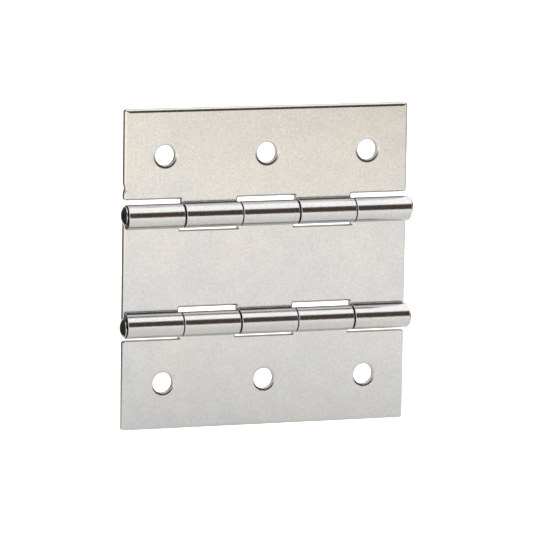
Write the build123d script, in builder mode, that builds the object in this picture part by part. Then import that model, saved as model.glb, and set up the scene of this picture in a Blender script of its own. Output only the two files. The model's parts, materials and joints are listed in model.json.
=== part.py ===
import os
from math import acos, degrees

from build123d import *

# Double hinge: three pressed sheet steel leaves, joined by two riveted pins.
# Sizes are in millimetres. X runs along the pins, Z is up and the front faces -Y.
# The origin is the middle of the upper leaf's screw row, on the leaf's back face.

# Sheet and leaves
sheet = 1.5  # thickness of the steel sheet
leaf_width = 70.0  # along the pins
leaf_reach = 25.0  # pin axis to the free edge of an outer leaf
pin_spacing = 25.6  # from pin axis to pin axis, across the centre leaf
corner_radius = 0.6  # corners of the blanks
slot_corner_radius = 0.2  # corners of the slots, left sharper by the punch
draw_width = 0.5  # front edge drawn in by the punch, across the face
draw_depth = 0.22  # and into the sheet
back_edge_break = 0.12  # tumbled edge on the back and round the knuckles

# Screw holes of the outer leaves
hole_diameter = 4.8
hole_pitch = 25.0
hole_count = 3
hole_setback = 11.0  # row of holes to the leaf's free edge

# Barrels
pin_diameter = 2.8
pin_clearance = 0.05  # between pin and knuckle, on the radius
knuckle_pitch = 14.1  # from one side gap to the next
knuckle_gap = 0.25  # between neighbouring knuckles
knuckle_offset = 0.08  # an outer leaf's knuckles stand off its middle, to the right of the upper leaf
slot_clearance = 0.75  # outside of a knuckle to the slot that it turns in
seam_gap = 0.5  # end of the rolled sheet to the leaf's front face

# Riveted heads of the pins
head_diameter = 4.5
head_rim = 0.3  # straight edge under the dome
head_height = 1.1  # rim and dome
head_seat_gap = 0.05  # head to the end knuckle
head_offset = 0.4  # heads stand off their pin, away from the hinge's middle

# Knock on the left edge of the upper leaf
dent_length = 2.4
dent_depth = 0.28
dent_drop = 7.5  # below the row of holes

# Derived sizes
bore_radius = pin_diameter / 2 + pin_clearance
barrel_radius = bore_radius + sheet
slot_reach = barrel_radius + slot_clearance  # pin axis to the slot's edge
pin_y = -barrel_radius  # the leaves' back faces are flush with the barrels
pin_z = hole_setback - leaf_reach  # the upper pin
middle_z = pin_z - pin_spacing / 2
curl_end = degrees(acos((bore_radius - seam_gap) / barrel_radius))
beyond = 2 * barrel_radius  # past the far side of a barrel
end_boundary = leaf_width / knuckle_pitch  # past the end of a barrel, counted in knuckles
dent_radius = dent_length**2 / (8 * dent_depth) + dent_depth / 2

# Half a turn about the hinge's middle carries the upper half onto the lower half.
turned_over = Location((0, 0, 2 * middle_z), (0, 180, 0))


def rolled_section(reach, side):
    """Section of a leaf on the upper pin: a flat, above (1) or below (-1) the pin, whose end is
    rolled forward round the pin until it meets the flat's own front face."""
    with BuildSketch(Plane(origin=(0, pin_y, pin_z), x_dir=(0, 1, 0), z_dir=(side, 0, 0))) as section:
        with BuildLine():
            outside = CenterArc((0, 0), barrel_radius, 0, curl_end - 360)
            inside = CenterArc((0, 0), bore_radius, 0, curl_end - 360)
            Line(outside @ 1, inside @ 1)
            Polyline(outside @ 0, (barrel_radius, reach), (bore_radius, reach), inside @ 0)
        make_face()
    return section.sketch


def knuckle_gaps(boundaries, offset, side):
    """Blocks of a leaf's barrel that make way for the other leaf's knuckles and their slots.
    Boundaries are counted in knuckles from the middle of the barrel."""
    with BuildSketch(Plane(origin=(0, 0, pin_z), x_dir=(1, 0, 0), z_dir=(0, -side, 0))) as gaps:
        for first, last in boundaries:
            width = (last - first) * knuckle_pitch + knuckle_gap
            with Locations(((first + last) / 2 * knuckle_pitch + offset, slot_reach)):
                Rectangle(width, slot_reach + beyond, align=(Align.CENTER, Align.MAX))
    return gaps.sketch


def is_bend_line(edge):
    """Whether an edge is the line where a flat turns into a barrel."""
    height = abs(edge.center().Z - middle_z)
    return abs(height - pin_spacing / 2) < sheet / 10


def is_slot_corner(edge):
    """Whether an edge across the sheet lies inside the leaf's sides."""
    return abs(edge.center().X) < leaf_width / 2 - sheet / 10


def finish_edges(leaf):
    """Draws in the front edges of a leaf and breaks its back edges, knuckles included."""
    for place, width, depth in ((0, draw_width, draw_depth), (-1, back_edge_break, back_edge_break)):
        flat = leaf.faces().filter_by(Axis.Y).sort_by(Axis.Y)[place]
        chamfer(flat.edges() - flat.edges().filter_by(is_bend_line), width, depth, reference=flat)


# Outer leaf as it leaves the press: screw holes and two knuckles
with BuildPart() as outer_leaf:
    extrude(rolled_section(leaf_reach, 1), amount=leaf_width / 2, both=True)
    gaps = knuckle_gaps([(-end_boundary, -1.5), (-0.5, 0.5), (1.5, end_boundary)], knuckle_offset, 1)
    extrude(gaps, amount=beyond, both=True, mode=Mode.SUBTRACT)
    with Locations(Plane(origin=(0, -sheet, 0), x_dir=(1, 0, 0), z_dir=(0, -1, 0))):
        with GridLocations(hole_pitch, hole_pitch, hole_count, 1):
            Hole(hole_diameter / 2)
    corners = outer_leaf.edges().filter_by(Axis.Y)
    slot_corners = corners.filter_by(is_slot_corner)
    fillet(slot_corners, slot_corner_radius)
    fillet(corners - slot_corners, corner_radius)
    finish_edges(outer_leaf)

with BuildPart() as upper_leaf:
    add(outer_leaf.part)
    with BuildSketch(Plane.XZ):
        with Locations((dent_depth - dent_radius - leaf_width / 2, -dent_drop)):
            Circle(dent_radius)
    extrude(amount=beyond, both=True, mode=Mode.SUBTRACT)

with BuildPart() as lower_leaf:
    with Locations(turned_over):
        add(outer_leaf.part)

# Centre leaf: no holes, three knuckles in each barrel
with BuildPart() as centre_leaf:
    extrude(rolled_section(pin_spacing / 2, -1), amount=leaf_width / 2, both=True)
    gaps = knuckle_gaps([(-1.5, -0.5), (0.5, 1.5)], 0, -1)
    extrude(gaps, amount=beyond, both=True, mode=Mode.SUBTRACT)
    mirror(about=Plane.XY.offset(middle_z))
    fillet(centre_leaf.edges().filter_by(Axis.Y), slot_corner_radius)
    finish_edges(centre_leaf)

# Pins: straight wire with a low dome riveted on each end, against the end knuckles
with BuildPart() as upper_pin:
    seat = leaf_width / 2 + head_seat_gap
    rim = (seat + head_rim, head_diameter / 2)
    tip = (seat + head_height, 0)
    with BuildSketch(Plane(origin=(0, pin_y, pin_z), x_dir=(0, 1, 0), z_dir=(1, 0, 0))):
        Circle(pin_diameter / 2)
    extrude(amount=seat + head_rim)
    head_axis = Axis((0, pin_y, pin_z + head_offset), (1, 0, 0))
    with BuildSketch(Plane(origin=head_axis.position, x_dir=(1, 0, 0), z_dir=(0, -1, 0))):
        with BuildLine():
            Polyline(tip, (seat, 0), (seat, head_diameter / 2), rim)
            TangentArc(tip, rim, tangent=(0, 1))
        make_face()
    revolve(axis=head_axis)
    mirror(about=Plane.YZ)

with BuildPart() as lower_pin:
    with Locations(turned_over):
        add(upper_pin.part)

pieces = {
    "upper_leaf": upper_leaf,
    "centre_leaf": centre_leaf,
    "lower_leaf": lower_leaf,
    "upper_pin": upper_pin,
    "lower_pin": lower_pin,
}

os.makedirs("parts", exist_ok=True)
for name, piece in pieces.items():
    piece.part.label = name
    export_step(piece.part, f"parts/{name}.step")
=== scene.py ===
import json
import math

import bpy
import numpy as np
from mathutils import Matrix, Vector
from mathutils.geometry import delaunay_2d_cdt


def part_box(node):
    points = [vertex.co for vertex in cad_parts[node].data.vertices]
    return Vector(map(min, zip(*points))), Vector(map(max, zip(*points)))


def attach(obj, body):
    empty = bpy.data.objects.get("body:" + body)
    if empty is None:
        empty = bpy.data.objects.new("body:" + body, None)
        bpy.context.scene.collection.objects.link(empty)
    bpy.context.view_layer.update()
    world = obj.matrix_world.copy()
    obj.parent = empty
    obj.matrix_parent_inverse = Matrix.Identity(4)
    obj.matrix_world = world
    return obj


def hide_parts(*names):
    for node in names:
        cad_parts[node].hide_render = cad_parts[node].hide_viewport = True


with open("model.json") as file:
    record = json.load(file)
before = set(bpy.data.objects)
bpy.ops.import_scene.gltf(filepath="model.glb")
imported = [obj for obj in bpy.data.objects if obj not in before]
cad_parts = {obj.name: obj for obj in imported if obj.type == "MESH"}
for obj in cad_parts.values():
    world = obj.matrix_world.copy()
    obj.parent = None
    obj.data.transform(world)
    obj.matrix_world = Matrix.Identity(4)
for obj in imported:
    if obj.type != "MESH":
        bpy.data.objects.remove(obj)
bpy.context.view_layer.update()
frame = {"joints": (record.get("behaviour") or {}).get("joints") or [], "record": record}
scene = bpy.context.scene
scene.view_settings.view_transform = "Standard"
mm = 0.001  # the frame is in metres

# A double hinge: three leaves of zinc-plated sheet steel, rolled round two riveted pins.
# X runs along the pins, Z is up and the front faces -Y. The backs of the leaves lie on y = 0.
joints = {joint["name"]: joint["pos_m"] for joint in frame["joints"]}
mounts = {mount["name"]: mount for mount in frame["record"]["mounts"]}
upperAxis = joints["upper_fold"]
lowerAxis = joints["lower_fold"]
middleZ = (upperAxis[2] + lowerAxis[2]) / 2
pinY = upperAxis[1]
barrelRadius = -pinY  # barrels are flush with the backs of the leaves
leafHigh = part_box("upper_leaf")[1]
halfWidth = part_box("centre_leaf")[1].x


# Helpers for meshes and nodes

def hexColour(code):
    # sRGB to linear: v / 12.92 up to 0.04045, and ((v + 0.055) / 1.055) ** 2.4 above it
    shown = np.array([int(code[i:i + 2], 16) for i in (1, 3, 5)]) / 255
    linear = np.where(shown <= 0.04045, shown / 12.92, ((shown + 0.055) / 1.055) ** 2.4)
    return (*linear.tolist(), 1.0)


def addNode(tree, kind, settings, inputs):
    # an input is a fixed value, or the output of another node
    node = tree.nodes.new("ShaderNode" + kind)
    for name, value in settings.items():
        setattr(node, name, value)
    for name, value in inputs.items():
        if isinstance(value, bpy.types.NodeSocket):
            tree.links.new(value, node.inputs[name])
        else:
            node.inputs[name].default_value = value
    return node


def makeMesh(name, points, normals, faces, marks):
    # points and normals are (count, 3); marks are named values of the points, 0 to 1
    mesh = bpy.data.meshes.new(name)
    mesh.from_pydata(points.tolist(), [], faces)
    mesh.shade_smooth()
    mesh.normals_split_custom_set_from_vertices(normals.tolist())
    for mark, values in marks.items():
        mesh.attributes.new(mark, "FLOAT", "POINT").data.foreach_set("value", values.astype(np.float32))
    piece = bpy.data.objects.new(name, mesh)
    scene.collection.objects.link(piece)
    print("mesh:", name, len(points), "points")
    return piece


# Leaves

leafSheet = {
    "thickness": 1.5 * mm,
    "cornerRadius": 0.6 * mm,  # corners of the blank
    "slotCorner": 0.2 * mm,
    "tabCorner": 0.3 * mm,  # corners at the rolled-in end of a knuckle
    "frontDraw": (0.6 * mm, 0.24 * mm),  # edge drawn in by the punch: along the face, into the sheet
    "slotDraw": (0.25 * mm, 0.14 * mm),  # sharper slot edges that face up
    "freeDraw": (0.95 * mm, 0.62 * mm),  # rounder free edges of the outer leaves
    "mitre": 0.93,  # share of a corner's room that the drawn edge takes up
    "holeDraw": (0.8 * mm, 0.26 * mm),
    "backDraw": (0.15 * mm, 0.15 * mm),
    "boreDraw": (0.2 * mm, 0.2 * mm),
    "rimDraw": (0.25 * mm, 0.25 * mm),  # outer rims of the knuckles
    "drawBlend": 1.2 * mm,  # length before a bend over which leaf edges turn into knuckle rims
    "cutFade": 6,  # how sharply the sheared look of a wall fades into its rounded edges
    "fineStep": 0.2 * mm,  # mesh spacing round the barrels
    "coarseStep": 0.6 * mm,
    "faceStep": 2.5 * mm,
    "bendMargin": 1 * mm,  # the face's wide lattice stays this far from a bend
    "cornerSteps": 9,
    "backSteps": 6,  # across a rounded edge
    "frontSteps": 10,
    "holeSteps": 96,
}
knuckles = {
    "pitch": 14.1 * mm,  # from one side gap to the next
    "gap": 0.25 * mm,
    "offset": 0.08 * mm,  # an outer leaf's knuckles stand a little off its middle
    "slotReach": 3.7 * mm,  # pin axis to the edge of a slot
    "seamGap": 0.5 * mm,  # rolled-in end to the leaf's front face
}
edgeDent = {"length": 2.6 * mm, "depth": 0.3 * mm, "height": -7.5 * mm}  # knock on the upper leaf's left

boreRadius = barrelRadius - leafSheet["thickness"]
middleRadius = (barrelRadius + boreRadius) / 2
curlAngle = 2 * math.pi - math.acos((boreRadius - knuckles["seamGap"]) / barrelRadius)
tabLength = curlAngle * middleRadius


def roundedLoop(corners, radii, ends):
    # Anticlockwise outline: each corner becomes an arc that touches both of its sides, and the run to
    # the next arc is divided evenly. The outward normal is the heading turned a quarter to the right.
    # Room is how far a point can move in before it meets its neighbours: the radius at an outer corner,
    # and more away from it.
    corners = np.array(corners)
    before = corners - np.roll(corners, 1, 0)
    before /= np.linalg.norm(before, axis=1, keepdims=True)
    after = np.roll(before, -1, 0)
    heading = np.arctan2(before[:, 1], before[:, 0])
    turn = np.arctan2(before[:, 0] * after[:, 1] - before[:, 1] * after[:, 0], (before * after).sum(1))
    signed = np.sign(turn) * radii
    start = corners - before * (radii * np.tan(np.abs(turn) / 2))[:, None]
    centre = start + signed[:, None] * np.stack([-before[:, 1], before[:, 0]], 1)
    along = heading[:, None] + turn[:, None] * np.linspace(0, 1, leafSheet["cornerSteps"])
    normal = np.stack([np.sin(along), -np.cos(along)], -1)
    arc = centre[:, None] + signed[:, None, None] * normal
    cornerRoom = np.where(turn > 0, radii, math.inf)
    nextRoom = np.roll(cornerRoom, -1)
    points, normals, room = [], [], []
    for i, following in enumerate(np.roll(arc[:, 0], -1, 0)):
        runEnds = np.array([arc[i, -1], following])
        curled = runEnds[:, 1].min() < ends[0] or runEnds[:, 1].max() > ends[1]
        step = leafSheet["fineStep" if curled else "coarseStep"]
        length = np.linalg.norm(runEnds[1] - runEnds[0])
        count = math.ceil(length / step)
        share = np.arange(1, count) / count
        points += [arc[i], runEnds[0] + share[:, None] * (runEnds[1] - runEnds[0])]
        normals += [normal[i], np.repeat(normal[i, -1:], count - 1, 0)]
        run = np.minimum(cornerRoom[i] + share * length, nextRoom[i] + (1 - share) * length)
        room += [np.full(len(arc[i]), cornerRoom[i]), run]
    return np.concatenate(points), np.concatenate(normals), np.concatenate(room)


def dented(points, normals, room, dent):
    # the left edge moves in by depth * cos^2 of the way from the dent's middle, and its normal leans too
    away = (points[:, 1] - dent["height"]) / dent["length"] * np.pi
    hit = np.isclose(points[:, 0], -halfWidth) & (np.abs(away) < np.pi / 2)
    points, normals = points.copy(), normals.copy()
    points[hit, 0] += dent["depth"] * np.cos(away[hit]) ** 2
    slope = -dent["depth"] * np.sin(2 * away[hit]) * np.pi / dent["length"]
    normals[hit] = np.stack([-np.ones(slope.size), slope], 1) / np.hypot(1, slope)[:, None]
    return points, normals, room


def rollSheet(flat, depth, normal, ends):
    # A point of the flat blank (x, s) at a depth below the back face. Past a pin the sheet follows a
    # circle about it: angle = length past the pin / middle radius, and radius = barrel radius - depth.
    held = np.clip(flat[..., 1], *ends)
    angle = (flat[..., 1] - held) / middleRadius
    sine, cosine = np.sin(angle), np.cos(angle)
    reach = barrelRadius - depth
    place = np.stack([flat[..., 0], pinY + reach * cosine, held + reach * sine], -1)
    across, along, inward = normal[..., 0], normal[..., 1], normal[..., 2]
    facing = np.stack([across, -along * sine - inward * cosine, along * cosine - inward * sine], -1)
    return place, facing


def edgeProfile(points, normals, front, back):
    # Profile from the back face over the edge to the front face: a quarter ellipse, the sheared wall and
    # a quarter ellipse, carried along the loop. Arrays are (loop point, profile point); the inset is
    # width * (1 - sin t), the depth below a face is depth * (1 - cos t).
    backSteps, frontSteps = leafSheet["backSteps"], leafSheet["frontSteps"]
    turn = np.radians(np.concatenate([np.linspace(0, 90, backSteps), np.linspace(90, 0, frontSteps)]))
    onFront = np.arange(turn.size) >= backSteps
    width = np.where(onFront, front[:, :1], back[:, :1])
    drop = np.where(onFront, front[:, 1:], back[:, 1:]) * (1 - np.cos(turn))
    depth = np.where(onFront, leafSheet["thickness"] - drop, drop)
    outward = np.sin(turn) / width
    inward = np.where(onFront, np.cos(turn) / front[:, 1:], -np.cos(turn) / back[:, 1:])
    size = np.hypot(outward, inward)
    flat = points[:, None] - (width * (1 - np.sin(turn)))[..., None] * normals[:, None]
    across = (outward / size)[..., None] * normals[:, None]
    normal = np.concatenate([across, (inward / size)[..., None]], -1)
    cut = np.broadcast_to(np.sin(turn) ** leafSheet["cutFade"], depth.shape)
    return flat, depth, normal, cut


def isInside(points, edges):
    # odd number of loop edges crossed by a ray to the right
    startX, startY, endX, endY = (edges[:, i, j] for i, j in ((0, 0), (0, 1), (1, 0), (1, 1)))
    x, y = points[:, :1], points[:, 1:]
    spans = (startY > y) != (endY > y)
    rise = np.where(endY == startY, 1.0, endY - startY)
    return (spans & (x < startX + (y - startY) / rise * (endX - startX))).sum(1) % 2 == 1


def innerPoints(loops, edges, ends):
    # a wide lattice on the flat and rows round the barrels, kept clear of the loops
    low, high = ends
    everywhere = np.concatenate(loops)
    bottom, top = everywhere[:, 1].min(), everywhere[:, 1].max()
    columns = np.arange(-halfWidth, halfWidth, leafSheet["faceStep"])
    rows = np.arange(bottom, top, leafSheet["faceStep"])
    wide = np.stack(np.meshgrid(columns, rows), -1).reshape(-1, 2)
    margin = leafSheet["bendMargin"]
    wide = wide[(wide[:, 1] > low + margin) & (wide[:, 1] < high - margin)]
    columns = np.arange(-halfWidth, halfWidth, leafSheet["coarseStep"])
    rows = np.arange(bottom, top, leafSheet["fineStep"])
    rows = rows[(rows < low) | (rows > high)]
    fine = np.stack(np.meshgrid(columns, rows), -1).reshape(-1, 2)
    found = []
    for lattice, margin in ((wide, leafSheet["coarseStep"]), (fine, leafSheet["fineStep"])):
        lattice = lattice[isInside(lattice, edges)]
        apart = np.linalg.norm(lattice[:, None] - everywhere[None], axis=-1).min(1)
        found.append(lattice[apart > margin])
    return np.concatenate(found)


def fillFace(loops, ends):
    # constrained Delaunay triangles between the loops of one face, without those in slots and holes
    starts = np.cumsum([0] + [len(loop) for loop in loops])
    pairs = [np.stack([np.arange(len(loop)), np.roll(np.arange(len(loop)), -1)], 1) for loop in loops]
    pairs = np.concatenate([pair + start for pair, start in zip(pairs, starts)])
    edges = np.concatenate(loops)[pairs]
    inner = innerPoints(loops, edges, ends)
    points = np.concatenate([*loops, inner])
    tolerance = 1e-7  # millimetres
    triangles = delaunay_2d_cdt((points / mm).tolist(), pairs.tolist(), [], 0, tolerance)[2]
    triangles = np.array(triangles)
    corners = points[triangles]
    first, second = corners[:, 1] - corners[:, 0], corners[:, 2] - corners[:, 0]
    clockwise = first[:, 0] * second[:, 1] < first[:, 1] * second[:, 0]
    triangles[clockwise] = triangles[clockwise][:, ::-1]
    return inner, triangles[isInside(corners.mean(1), edges)]


def buildLeaf(name, outline, holeCentres, holeRadius, ends, freeEnd):
    # Ends are the heights of the pins that the sheet is rolled round, below and above; freeEnd is the
    # height of the free edge. Leaf edges are sheared, and the ends of the knuckles are darkened with
    # painted shade of the gaps between them.
    points, normals, room = outline
    free = np.clip(1 - np.abs(points[:, 1:] - freeEnd) / leafSheet["cornerRadius"], 0, 1)
    upward = np.clip(normals[:, 1:], 0, 1) ** 2
    front = np.array(leafSheet["frontDraw"]) * (1 - upward) + np.array(leafSheet["slotDraw"]) * upward
    front = front * (1 - free) + np.array(leafSheet["freeDraw"]) * free
    past = np.maximum(points[:, 1] - ends[1], ends[0] - points[:, 1])
    onKnuckle = np.clip(1 + past / leafSheet["drawBlend"], 0, 1)[:, None]
    front = front * (1 - onKnuckle) + np.array(leafSheet["boreDraw"]) * onKnuckle
    back = np.array(leafSheet["backDraw"]) * (1 - onKnuckle) + np.array(leafSheet["rimDraw"]) * onKnuckle
    front[:, 0] = np.minimum(front[:, 0], leafSheet["mitre"] * room)
    flat, depth, normal, cut = edgeProfile(points, normals, front, back)
    loops = [(flat, depth, normal, cut * (1 - onKnuckle), cut * onKnuckle)]
    # holes run clockwise, so that their normals point to the hole's middle
    around = -np.linspace(0, 2 * np.pi, leafSheet["holeSteps"], endpoint=False)
    spoke = np.stack([np.cos(around), np.sin(around)], 1)
    for centre in holeCentres:
        draws = [np.tile(leafSheet[side], (len(spoke), 1)) for side in ("holeDraw", "backDraw")]
        flat, depth, normal, cut = edgeProfile(centre + holeRadius * spoke, -spoke, *draws)
        loops.append((flat, depth, normal, cut, 0 * cut))
    places, facings, cuts, gapShades, faces, rims = [], [], [], [], [], []
    count = 0
    for flat, depth, normal, cut, oil in loops:
        index = count + np.arange(depth.size).reshape(depth.shape)
        ahead = np.roll(index, -1, 0)
        quads = np.stack([index[:, :-1], ahead[:, :-1], ahead[:, 1:], index[:, 1:]], -1)
        place, facing = rollSheet(flat, depth, normal, ends)
        places.append(place.reshape(-1, 3))
        facings.append(facing.reshape(-1, 3))
        cuts.append(cut.ravel())
        gapShades.append(oil.ravel())
        faces += quads.reshape(-1, 4).tolist()
        rims.append(index)
        count += depth.size
    for column, depth, side in ((0, 0.0, -1), (-1, leafSheet["thickness"], 1)):
        inner, triangles = fillFace([flat[:, column] for flat, *_ in loops], ends)
        index = np.concatenate([rim[:, column] for rim in rims] + [count + np.arange(len(inner))])
        facing = np.broadcast_to(np.array([0.0, 0.0, side]), (len(inner), 3))
        place, facing = rollSheet(inner, np.full(len(inner), depth), facing, ends)
        places.append(place)
        facings.append(facing)
        cuts.append(np.zeros(len(inner)))
        gapShades.append(np.zeros(len(inner)))
        faces += index[triangles[:, ::side]].tolist()
        count += len(inner)
    marks = {"cutEdge": np.concatenate(cuts), "oil": np.concatenate(gapShades)}
    return makeMesh(name, np.concatenate(places), np.concatenate(facings), faces, marks)


def outerCorners():
    # upper leaf's blank: along the slot edge with a tab for each knuckle, then round by the free edge
    blank, notch, tab = (leafSheet[name] for name in ("cornerRadius", "slotCorner", "tabCorner"))
    slot = upperAxis[2] + knuckles["slotReach"]
    tip = upperAxis[2] - tabLength
    corners, radii = [(-halfWidth, slot)], [blank]
    for first, last in ((-1.5, -0.5), (0.5, 1.5)):
        left = first * knuckles["pitch"] + knuckles["gap"] / 2 + knuckles["offset"]
        right = last * knuckles["pitch"] - knuckles["gap"] / 2 + knuckles["offset"]
        corners += [(left, slot), (left, tip), (right, tip), (right, slot)]
        radii += [notch, tab, tab, notch]
    corners += [(halfWidth, slot), (halfWidth, leafHigh.z), (-halfWidth, leafHigh.z)]
    return np.array(corners), np.array(radii + [blank] * 3)


def centreCorners():
    # lower edge of the centre blank with three tabs, then the same edge turned over
    notch, tab = leafSheet["slotCorner"], leafSheet["tabCorner"]
    slot = lowerAxis[2] + knuckles["slotReach"]
    tip = lowerAxis[2] - tabLength
    inner = 0.5 * knuckles["pitch"] - knuckles["gap"] / 2
    outer = 1.5 * knuckles["pitch"] + knuckles["gap"] / 2
    edge = [(-halfWidth, tip), (-outer, tip), (-outer, slot), (-inner, slot), (-inner, tip)]
    edge = np.array(edge + [(-x, s) for x, s in reversed(edge)])
    radii = np.array([tab, tab, notch, notch, tab, tab, notch, notch, tab, tab])
    return np.concatenate([edge, turnOver(edge)]), np.concatenate([radii, radii])


def turnOver(points):
    # half a turn about the hinge's middle, which carries the upper half onto the lower half
    return np.array([0.0, 2 * middleZ]) - points


rowHole = mounts["upper_middle_hole"]
holeRadius = rowHole["dims"]["r_mm"] * mm
holePitch = mounts["upper_outer_holes"]["dims"]["spacing_x_mm"] * mm / 2
upperHoles = np.array([(k * holePitch, rowHole["pos_m"][2]) for k in (-1, 0, 1)])

corners, radii = outerCorners()
upperEnds = (upperAxis[2], math.inf)
lowerEnds = (-math.inf, lowerAxis[2])
centreEnds = (lowerAxis[2], upperAxis[2])
upperOutline = dented(*roundedLoop(corners, radii, upperEnds), edgeDent)
lowerOutline = roundedLoop(turnOver(corners), radii, lowerEnds)
centreOutline = roundedLoop(*centreCorners(), centreEnds)
upperLeaf = buildLeaf("upperLeaf", upperOutline, upperHoles, holeRadius, upperEnds, leafHigh.z)
centreLeaf = buildLeaf("centreLeaf", centreOutline, [], holeRadius, centreEnds, math.inf)
leafLow = 2 * middleZ - leafHigh.z
lowerLeaf = buildLeaf("lowerLeaf", lowerOutline, turnOver(upperHoles), holeRadius, lowerEnds, leafLow)


# Pins

rivetedPin = {
    "wireRadius": 1.4 * mm,
    "seatGap": 0.05 * mm,  # head to the end knuckle
    "rimHeight": 0.3 * mm,  # straight edge under the dome
    "rimRound": 0.12 * mm,
    "seatFillet": 0.05 * mm,
    "poleGap": 0.5,  # degrees from the dome's pole to its first ring
    "domeEdge": 1.5,  # degrees that the dome leaves to the rounded rim
    "domeSteps": 24,
    "rimSteps": 6,
    "seatSteps": 7,
    "filletSteps": 5,
    "steps": 96,  # round the pin
}


def buildPin(name, axis, box):
    # Rings along the pin. The half profile is a chain of arcs, each a centre, a radius and the range of
    # its normal's angle: 0 looks out along the axis, 90 away from it, 180 back to the seat. The rings of a
    # head, all but the last arc, stand off the wire's axis, with the box.
    tip = box[1].x
    headRadius = (box[1].z - box[0].z) / 2
    seat = halfWidth + rivetedPin["seatGap"]
    rise = tip - seat - rivetedPin["rimHeight"]
    domeRadius = (headRadius**2 + rise**2) / (2 * rise)
    domeAngle = math.degrees(math.asin(headRadius / domeRadius))
    rim, fillet = rivetedPin["rimRound"], rivetedPin["seatFillet"]
    shoulder = tip - rise - rim * math.tan(math.radians(90 - domeAngle) / 2)
    domeEnds = rivetedPin["poleGap"], domeAngle - rivetedPin["domeEdge"]
    arcs = [
        (tip - domeRadius, 0, domeRadius, np.linspace(*domeEnds, rivetedPin["domeSteps"])),
        (shoulder, headRadius - rim, rim, np.linspace(domeAngle, 90, rivetedPin["rimSteps"])),
        (seat + rim, headRadius - rim, rim, np.linspace(90, 180, rivetedPin["seatSteps"])),
        (seat - fillet, rivetedPin["wireRadius"] + fillet, -fillet,
         np.linspace(180, 90, rivetedPin["filletSteps"])),
    ]
    angle = np.radians(np.concatenate([a for *_, a in arcs]))
    x = np.concatenate([cx + r * np.cos(np.radians(a)) for cx, _, r, a in arcs])
    radius = np.concatenate([cr + r * np.sin(np.radians(a)) for _, cr, r, a in arcs])
    offset = np.full(x.size, (box[0].z + box[1].z) / 2 - axis[2])
    offset[-len(arcs[-1][-1]):] = 0
    x = np.concatenate([x, -x[::-1]])
    radius = np.concatenate([radius, radius[::-1]])
    offset = np.concatenate([offset, offset[::-1]])
    lean = np.concatenate([np.cos(angle), -np.cos(angle)[::-1]])
    swell = np.concatenate([np.sin(angle), np.sin(angle)[::-1]])
    around = np.linspace(0, 2 * np.pi, rivetedPin["steps"], endpoint=False)
    spoke = np.stack([np.zeros(around.size), np.cos(around), np.sin(around)], 1)
    points = radius[:, None, None] * spoke + np.array(axis) * [0, 1, 1]
    points[..., 0] += x[:, None]
    points[..., 2] += offset[:, None]
    normals = swell[:, None, None] * spoke
    normals[..., 0] += lean[:, None]
    index = np.arange(points.size // 3).reshape(points.shape[:2])
    ahead = np.roll(index, -1, 1)
    quads = np.stack([index[:-1], index[1:], ahead[1:], ahead[:-1]], -1).reshape(-1, 4)
    poles = [[tip, axis[1], axis[2] + offset[0]], [-tip, axis[1], axis[2] + offset[0]]]
    fans = [np.stack([index[0], ahead[0], np.full(around.size, index.size)], 1)]
    fans += [np.stack([ahead[-1], index[-1], np.full(around.size, index.size + 1)], 1)]
    points = np.concatenate([points.reshape(-1, 3), poles])
    normals = np.concatenate([normals.reshape(-1, 3), [[1, 0, 0], [-1, 0, 0]]])
    faces = quads.tolist() + fans[0].tolist() + fans[1].tolist()
    return makeMesh(name, points, normals, faces, {})


upperPin = buildPin("upperPin", upperAxis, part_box("upper_pin"))
lowerPin = buildPin("lowerPin", lowerAxis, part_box("lower_pin"))


# Materials

zincSheet = {
    "warm": "#d1cecb",
    "cool": "#cbcbcc",
    "cut": "#c8beb2",  # sheared walls, where the plating is thin
    "oil": "#2b2622",  # painted shade in the gaps between the knuckles
    "cloudSize": 14 * mm,  # passivation clouds
    "cloudSpan": (0.35, 0.65),  # span of the noise from cool to warm
    "mottleSize": 0.65 * mm,
    "mottleShares": (0.958, 1.042),
    "patchShares": (0.98, 1.02),  # broader patches with the waves of the sheet: partly the plating's uneven tone, partly painted reflection
    "grainSize": 0.5 * mm,  # matt grain of the rolled sheet, drawn coarse enough to show
    "grainBump": (0.7, 0.004 * mm),  # strength and height
    "waveSize": 5 * mm,
    "waveBump": (0.6, 0.02 * mm),
    "noiseSpan": (0.3, 0.7),
    "roughness": (0.15, 0.22),
    "cutRoughness": 0.58,
}
zincWire = {
    **zincSheet,
    "warm": "#c8c5bf",
    "cool": "#c2c4c4",
    "cloudSize": 3 * mm,
    "roughness": (0.16, 0.26),
}


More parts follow.
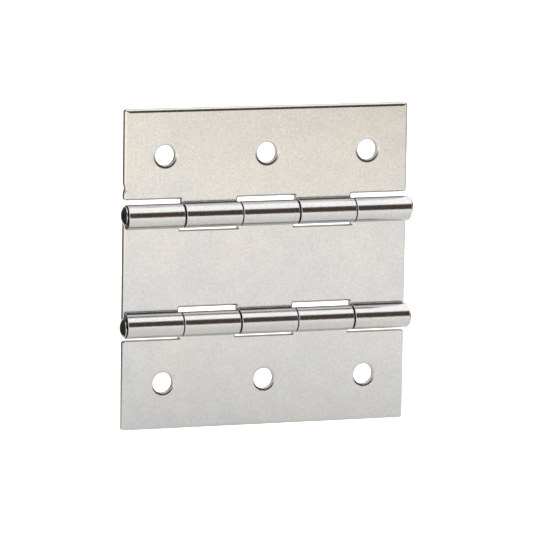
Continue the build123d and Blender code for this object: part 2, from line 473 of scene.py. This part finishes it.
def makeZinc(name, look):
    # Bright zinc plating on cold-rolled steel: a satin mirror with faint warm and cool clouds, a fine grain
    # that softens reflections unevenly, duller, browner walls where the sheet was sheared, and painted
    # shade darkening the ends of the knuckles, where they face the gaps between them.
    material = bpy.data.materials.new(name)
    material.use_nodes = True
    tree = material.node_tree
    tree.nodes.clear()
    place = addNode(tree, "TexCoord", {}, {}).outputs["Object"]
    noise = {
        size: addNode(tree, "TexNoise", {}, {"Vector": place, "Scale": 1 / look[size], "Detail": detail})
        for size, detail in (("cloudSize", 4.0), ("mottleSize", 2.0), ("grainSize", 2.0), ("waveSize", 1.0))
    }
    noise = {size: node.outputs["Fac"] for size, node in noise.items()}
    span = dict(enumerate(look["noiseSpan"], 1))
    cool, warm = look["cloudSpan"]
    clouds = addNode(tree, "MapRange", {}, {0: noise["cloudSize"], 1: cool, 2: warm})
    dim, lit = look["mottleShares"]
    specks = addNode(tree, "MapRange", {}, {0: noise["mottleSize"], **span, 3: dim, 4: lit})
    # lighter and darker where the sheet waves: partly uneven plating, partly painted reflection of the
    # waves
    dim, lit = look["patchShares"]
    waveToneAndSheen = addNode(tree, "MapRange", {}, {0: noise["waveSize"], **span, 3: dim, 4: lit})
    mottleAndSheen = addNode(tree, "Math", {"operation": "MULTIPLY"}, {0: specks.outputs[0], 1: waveToneAndSheen.outputs[0]})
    cut = addNode(tree, "Attribute", {"attribute_name": "cutEdge"}, {}).outputs["Fac"]
    tints = {6: hexColour(look["cool"]), 7: hexColour(look["warm"])}
    plated = addNode(tree, "Mix", {"data_type": "RGBA"}, {0: clouds.outputs[0], **tints})
    shades = {6: plated.outputs[2], 7: mottleAndSheen.outputs[0]}
    plated = addNode(tree, "Mix", {"data_type": "RGBA", "blend_type": "MULTIPLY"}, {0: 1.0, **shades})
    sides = {6: plated.outputs[2], 7: hexColour(look["cut"])}
    sheared = addNode(tree, "Mix", {"data_type": "RGBA"}, {0: cut, **sides})
    # painted shade: the ends of the knuckles, which face the narrow gaps, are darkened
    oil = addNode(tree, "Attribute", {"attribute_name": "oil"}, {}).outputs["Fac"]
    gapShading = {6: sheared.outputs[2], 7: hexColour(look["oil"])}
    colour = addNode(tree, "Mix", {"data_type": "RGBA"}, {0: oil, **gapShading})
    low, high = look["roughness"]
    satin = addNode(tree, "MapRange", {}, {0: noise["grainSize"], **span, 3: low, 4: high})
    dull = {2: satin.outputs[0], 3: look["cutRoughness"]}
    rough = addNode(tree, "Mix", {"data_type": "FLOAT"}, {0: cut, **dull})
    strength, height = look["waveBump"]
    waves = {"Height": noise["waveSize"], "Strength": strength, "Distance": height}
    rolled = addNode(tree, "Bump", {}, waves)
    strength, height = look["grainBump"]
    matt = {"Height": noise["grainSize"], "Strength": strength, "Distance": height}
    bump = addNode(tree, "Bump", {}, {**matt, "Normal": rolled.outputs[0]})
    shader = addNode(tree, "BsdfPrincipled", {}, {
        "Base Color": colour.outputs[2],
        "Metallic": 1.0,
        "Roughness": rough.outputs[0],
        "Normal": bump.outputs[0],
    })
    addNode(tree, "OutputMaterial", {}, {"Surface": shader.outputs[0]})
    print("material:", name)
    return material


leafFinish = makeZinc("zincPlatedSheetSteel", zincSheet)
pinFinish = makeZinc("zincPlatedSteelWire", zincWire)

dressing = [
    (upperLeaf, "upper", "upper_leaf", "leaf_steel", leafFinish),
    (centreLeaf, "centre", "centre_leaf", "leaf_steel", leafFinish),
    (lowerLeaf, "lower", "lower_leaf", "leaf_steel", leafFinish),
    (upperPin, "centre", "upper_pin", "pin_steel", pinFinish),
    (lowerPin, "centre", "lower_pin", "pin_steel", pinFinish),
]
for piece, body, node, slot, finish in dressing:
    piece.data.materials.append(finish)
    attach(piece, body)
    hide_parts(node)


# Studio: a pale floor with a pool of light in front, a white sky, a dark room behind the camera with bright
# walls beside it, and a black flag to the left

studio = {
    "floorHeight": -70 * mm,
    "floorFront": -2.4,  # where the pale floor ends in front
    "floorBack": 3.0,
    "floorSide": 3.0,
    "pale": "#f8f8f6",
    "lift": 0.6,  # what the camera sees is whiter by this
    "near": "#f1f1ef",  # the floor as metal shows it
    "far": "#fff9ed",
    "room": "#4f443d",
    "roomDirection": (0.332, -0.943, 0.0),
    "roomSpread": (50, 32),  # degrees to either side: bright walls from here, all dark from there
    "poolSpread": 0.143,  # the floor brightens away from the hinge over about this length
    "poolShares": (0.945, 1.485),
    "warmNear": 0.36,  # and grows warmer from here
    "warmFar": 0.44,
    "pourRight": 0.45,  # light pours over the front floor from right to left
    "pourLeft": -0.35,
    "pourShares": (0.85, 1.36),
    "pourFront": (-0.28, -0.45),
    "shadeNear": 0.22,  # the floor's right side falls into shade
    "shadeFar": 0.55,
    "shadeShare": 0.35,
    "felt": ("#2a2622", "#38332e"),  # black flag to the left, which only reflections show
    "napSize": 2 * mm,
    "flagSide": -50 * mm,
    "flagReach": (-7 * mm, 46 * mm),
    "flagRise": (-60 * mm, 70 * mm),
    "skyLow": 40,  # degrees above the horizon
    "skyHigh": 45,
    "skyStrength": 1.5,
}


def buildFloor():
    low, high = -studio["floorSide"], studio["floorSide"]
    front, back, height = studio["floorFront"], studio["floorBack"], studio["floorHeight"]
    mesh = bpy.data.meshes.new("floor")
    points = [(low, front, height), (high, front, height), (high, back, height), (low, back, height)]
    mesh.from_pydata(points, [], [(0, 1, 2, 3)])
    floor = bpy.data.objects.new("floor", mesh)
    scene.collection.objects.link(floor)
    return floor


def makeFloor(name):
    # Matt pale laminate. The camera sees it white but for the shadow; metal sees a pool of light that
    # fades towards the hinge and to the right. From below it is clear.
    material = bpy.data.materials.new(name)
    material.use_nodes = True
    tree = material.node_tree
    tree.nodes.clear()
    path = addNode(tree, "LightPath", {}, {}).outputs
    place = addNode(tree, "TexCoord", {}, {}).outputs["Object"]
    level = {0: place, 1: (1.0, 1.0, 0.0)}
    onFloor = addNode(tree, "VectorMath", {"operation": "MULTIPLY"}, level).outputs[0]
    away = addNode(tree, "VectorMath", {"operation": "LENGTH"}, {0: onFloor}).outputs["Value"]
    smooth = {"interpolation_type": "SMOOTHSTEP"}
    nearShare, farShare = studio["poolShares"]
    lengths = addNode(tree, "Math", {"operation": "DIVIDE"}, {0: away, 1: -studio["poolSpread"]}).outputs[0]
    closeness = addNode(tree, "Math", {"operation": "EXPONENT"}, {0: lengths}).outputs[0]
    pool = addNode(tree, "MapRange", {}, {0: closeness, 3: farShare, 4: nearShare}).outputs[0]
    parts = addNode(tree, "SeparateXYZ", {}, {0: place}).outputs
    rightShare, leftShare = studio["pourShares"]
    across = {0: parts["X"], 1: studio["pourRight"], 2: studio["pourLeft"]}
    pour = addNode(tree, "MapRange", smooth, {**across, 3: rightShare, 4: leftShare}).outputs[0]
    frontStart, frontEnd = studio["pourFront"]
    inFront = addNode(tree, "MapRange", smooth, {0: parts["Y"], 1: frontStart, 2: frontEnd}).outputs[0]
    pour = addNode(tree, "Mix", {"data_type": "FLOAT"}, {0: inFront, 2: 1.0, 3: pour}).outputs[0]
    across = {0: parts["X"], 1: studio["shadeNear"], 2: studio["shadeFar"]}
    shade = addNode(tree, "MapRange", smooth, {**across, 3: 1.0, 4: studio["shadeShare"]}).outputs[0]
    poured = addNode(tree, "Math", {"operation": "MULTIPLY"}, {0: pool, 1: pour}).outputs[0]
    strength = addNode(tree, "Math", {"operation": "MULTIPLY"}, {0: poured, 1: shade}).outputs[0]
    outward = {0: away, 1: studio["warmNear"], 2: studio["warmFar"]}
    warmth = addNode(tree, "MapRange", smooth, outward).outputs[0]
    pale = addNode(tree, "Mix", {"data_type": "RGBA"}, {
        0: warmth, 6: hexColour(studio["near"]), 7: hexColour(studio["far"])}).outputs[2]
    glow = addNode(tree, "Emission", {}, {"Color": pale, "Strength": strength})
    matt = addNode(tree, "BsdfDiffuse", {}, {"Color": hexColour(studio["pale"])})
    lift = addNode(tree, "Emission", {}, {"Color": hexColour("#ffffff"), "Strength": studio["lift"]})
    white = addNode(tree, "AddShader", {}, {0: matt.outputs[0], 1: lift.outputs[0]})
    looks = {1: matt.outputs[0], 2: white.outputs[0]}
    seen = addNode(tree, "MixShader", {}, {0: path["Is Camera Ray"], **looks})
    looks = {1: seen.outputs[0], 2: glow.outputs[0]}
    mirrored = addNode(tree, "MixShader", {}, {0: path["Is Glossy Ray"], **looks})
    below = addNode(tree, "NewGeometry", {}, {}).outputs["Backfacing"]
    clear = addNode(tree, "BsdfTransparent", {}, {})
    both = addNode(tree, "MixShader", {}, {0: below, 1: mirrored.outputs[0], 2: clear.outputs[0]})
    addNode(tree, "OutputMaterial", {}, {"Surface": both.outputs[0]})
    return material


def buildWorld():
    # white to the camera; to the metal a bright sky overhead, white behind and a dark room in front
    world = bpy.data.worlds.new("studioWorld")
    scene.world = world
    world.use_nodes = True
    tree = world.node_tree
    tree.nodes.clear()
    camera = addNode(tree, "LightPath", {}, {}).outputs["Is Camera Ray"]
    toward = addNode(tree, "TexCoord", {}, {}).outputs["Generated"]
    parts = addNode(tree, "SeparateXYZ", {}, {0: toward}).outputs
    smooth = {"interpolation_type": "SMOOTHSTEP"}
    low, high = (math.sin(math.radians(studio[name])) for name in ("skyLow", "skyHigh"))
    sky = addNode(tree, "MapRange", smooth, {0: parts["Z"], 1: low, 2: high}).outputs[0]
    level = {0: toward, 1: (1.0, 1.0, 0.0)}
    flat = addNode(tree, "VectorMath", {"operation": "MULTIPLY"}, level).outputs[0]
    heading = addNode(tree, "VectorMath", {"operation": "NORMALIZE"}, {0: flat}).outputs[0]
    pair = {0: heading, 1: studio["roomDirection"]}
    ahead = addNode(tree, "VectorMath", {"operation": "DOT_PRODUCT"}, pair)
    bright, dark = (math.cos(math.radians(angle)) for angle in studio["roomSpread"])
    shaded = addNode(tree, "MapRange", smooth, {0: ahead.outputs["Value"], 1: bright, 2: dark}).outputs[0]
    room = addNode(tree, "Mix", {"data_type": "RGBA"}, {
        0: shaded, 6: hexColour("#ffffff"), 7: hexColour(studio["room"])}).outputs[2]
    lit = addNode(tree, "Mix", {"data_type": "RGBA"}, {
        0: sky, 6: room, 7: (*[studio["skyStrength"]] * 3, 1.0)}).outputs[2]
    shown = addNode(tree, "Mix", {"data_type": "RGBA"}, {
        0: camera, 6: lit, 7: hexColour("#ffffff")}).outputs[2]
    surface = addNode(tree, "Background", {}, {"Color": shown, "Strength": 1.0})
    addNode(tree, "OutputWorld", {}, {"Surface": surface.outputs[0]})


def buildFlag():
    # a black felt card that stands left of the hinge, for the dark reflections in its left ends
    side, (front, back), (low, high) = studio["flagSide"], studio["flagReach"], studio["flagRise"]
    mesh = bpy.data.meshes.new("flag")
    points = [(side, front, low), (side, back, low), (side, back, high), (side, front, high)]
    mesh.from_pydata(points, [], [(0, 1, 2, 3)])
    material = bpy.data.materials.new("blackFelt")
    material.use_nodes = True
    tree = material.node_tree
    tree.nodes.clear()
    place = addNode(tree, "TexCoord", {}, {}).outputs["Object"]
    nap = addNode(tree, "TexNoise", {}, {"Vector": place, "Scale": 1 / studio["napSize"]}).outputs["Fac"]
    dark, light = (hexColour(code) for code in studio["felt"])
    colour = addNode(tree, "Mix", {"data_type": "RGBA"}, {0: nap, 6: dark, 7: light}).outputs[2]
    felt = addNode(tree, "BsdfDiffuse", {}, {"Color": colour})
    addNode(tree, "OutputMaterial", {}, {"Surface": felt.outputs[0]})
    mesh.materials.append(material)
    flag = bpy.data.objects.new("flag", mesh)
    flag.visible_camera = flag.visible_diffuse = flag.visible_shadow = flag.visible_transmission = False
    scene.collection.objects.link(flag)


floor = buildFloor()
floor.data.materials.append(makeFloor("paleLaminate"))
buildFlag()
buildWorld()

lamps = {
    "overhead": {"place": (0.2, -0.3, 1.3), "size": 0.9, "watts": 5.0},
    "left": {"place": (-0.85, 0.35, 0.65), "size": 0.35, "watts": 1.5},
}
for name, lamp in lamps.items():
    data = bpy.data.lights.new(name, "AREA")
    data.size = lamp["size"]
    data.energy = lamp["watts"]
    light = bpy.data.objects.new(name, data)
    light.location = lamp["place"]
    towardHinge = Vector((0, pinY, middleZ)) - light.location
    light.rotation_euler = towardHinge.to_track_quat("-Z", "Y").to_euler()
    light.visible_camera = light.visible_glossy = False
    scene.collection.objects.link(light)
print("studio: floor, flag, world and", len(lamps), "lamps")


# Camera, at the photograph's viewing angle

cameraView = {
    "yaw": 19.41,  # degrees to the left of the front
    "pitch": 8.75,  # looking down
    "roll": 0.88,
    "distance": 1171.5 * mm,
    "focalPixels": 5000,
    "imageSide": 533,
    "aim": (-0.26 * mm, 0.0, 0.07 * mm),  # from the hinge's middle
}
yaw, pitch, roll = (math.radians(cameraView[name]) for name in ("yaw", "pitch", "roll"))
look = Vector((math.sin(yaw) * math.cos(pitch), math.cos(yaw) * math.cos(pitch), -math.sin(pitch)))
level = Vector((math.cos(yaw), -math.sin(yaw), 0))
upright = level.cross(look)
right = math.cos(roll) * level + math.sin(roll) * upright
upward = math.cos(roll) * upright - math.sin(roll) * level
cameraData = bpy.data.cameras.new("camera")
cameraData.lens = cameraView["focalPixels"] * cameraData.sensor_width / cameraView["imageSide"]
camera = bpy.data.objects.new("camera", cameraData)
camera.matrix_world = Matrix((right, upward, -look)).transposed().to_4x4()
camera.location = Vector((0, pinY, middleZ)) + Vector(cameraView["aim"]) - cameraView["distance"] * look
scene.collection.objects.link(camera)
scene.camera = camera
print("camera: lens", round(cameraData.lens, 1), "mm")
